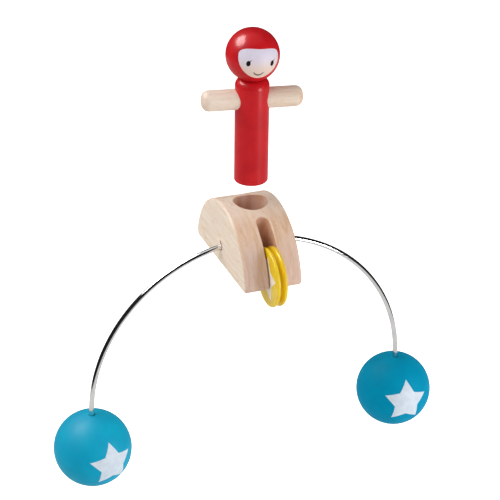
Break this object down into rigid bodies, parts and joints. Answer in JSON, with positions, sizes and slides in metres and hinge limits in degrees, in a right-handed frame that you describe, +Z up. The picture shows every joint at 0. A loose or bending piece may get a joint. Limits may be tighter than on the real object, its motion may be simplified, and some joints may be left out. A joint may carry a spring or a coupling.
{
  "type": "balancing rope-rider toy",
  "caption": "Wooden balancing toy: a peg rider stands in an arch block that rolls along a rope on grooved wheels, steadied by balls on a bent wire.",
  "frame": {"origin": "on the rope line, midway between the two wheels and level with the bottoms of their rope grooves, where the toy hangs on its rope", "axes": "+Z up; +Y along the rope to the toy's rear, so -Y is its front; +X to the right of someone looking at the front along +Y, across the block and along the wheel axles"},
  "size_m": [0.236, 0.101, 0.2666],
  "materials": {
    "natural_wood": "bare sanded light hardwood",
    "pale_wood": "bare sanded light hardwood",
    "red_painted_wood": "red semi-gloss paint on wood",
    "blue_painted_wood": "blue satin paint on wood",
    "yellow_wheel": "yellow semi-gloss",
    "bright_wire": "bright plated round wire",
    "axle_steel": "plain steel pin"
  },
  "bodies": {
    "block": {"arch_block": "natural_wood", "front_axle": "axle_steel", "rear_axle": "axle_steel", "front_axle_plug": "natural_wood", "rear_axle_plug": "natural_wood"},
    "front_wheel": {"front_wheel": "yellow_wheel"},
    "rear_wheel": {"rear_wheel": "yellow_wheel"},
    "balance_arm": {"balance_wire": "bright_wire", "left_ball": "blue_painted_wood", "right_ball": "blue_painted_wood"},
    "rider": {"rider_body": "red_painted_wood", "rider_arms": "pale_wood", "rider_head": "red_painted_wood", "rider_neck_peg": "pale_wood"}
  },
  "joints": [
    {"name": "front_wheel_spin", "type": "hinge", "parent": "block", "child": "front_wheel", "pos_m": [0, -0.0338, 0.014], "axis": [1, 0, 0], "continuous": true},
    {"name": "rear_wheel_spin", "type": "hinge", "parent": "block", "child": "rear_wheel", "pos_m": [0, 0.0338, 0.014], "axis": [1, 0, 0], "continuous": true},
    {"name": "balance_arm_swing", "type": "hinge", "parent": "block", "child": "balance_arm", "pos_m": [0, 0, 0.0199], "axis": [1, 0, 0], "range_deg": [-45, 45]},
    {"name": "rider_lift", "type": "slide", "parent": "block", "child": "rider", "axis": [0, 0, 1], "range_m": [-0.0315, 0]}
  ]
}
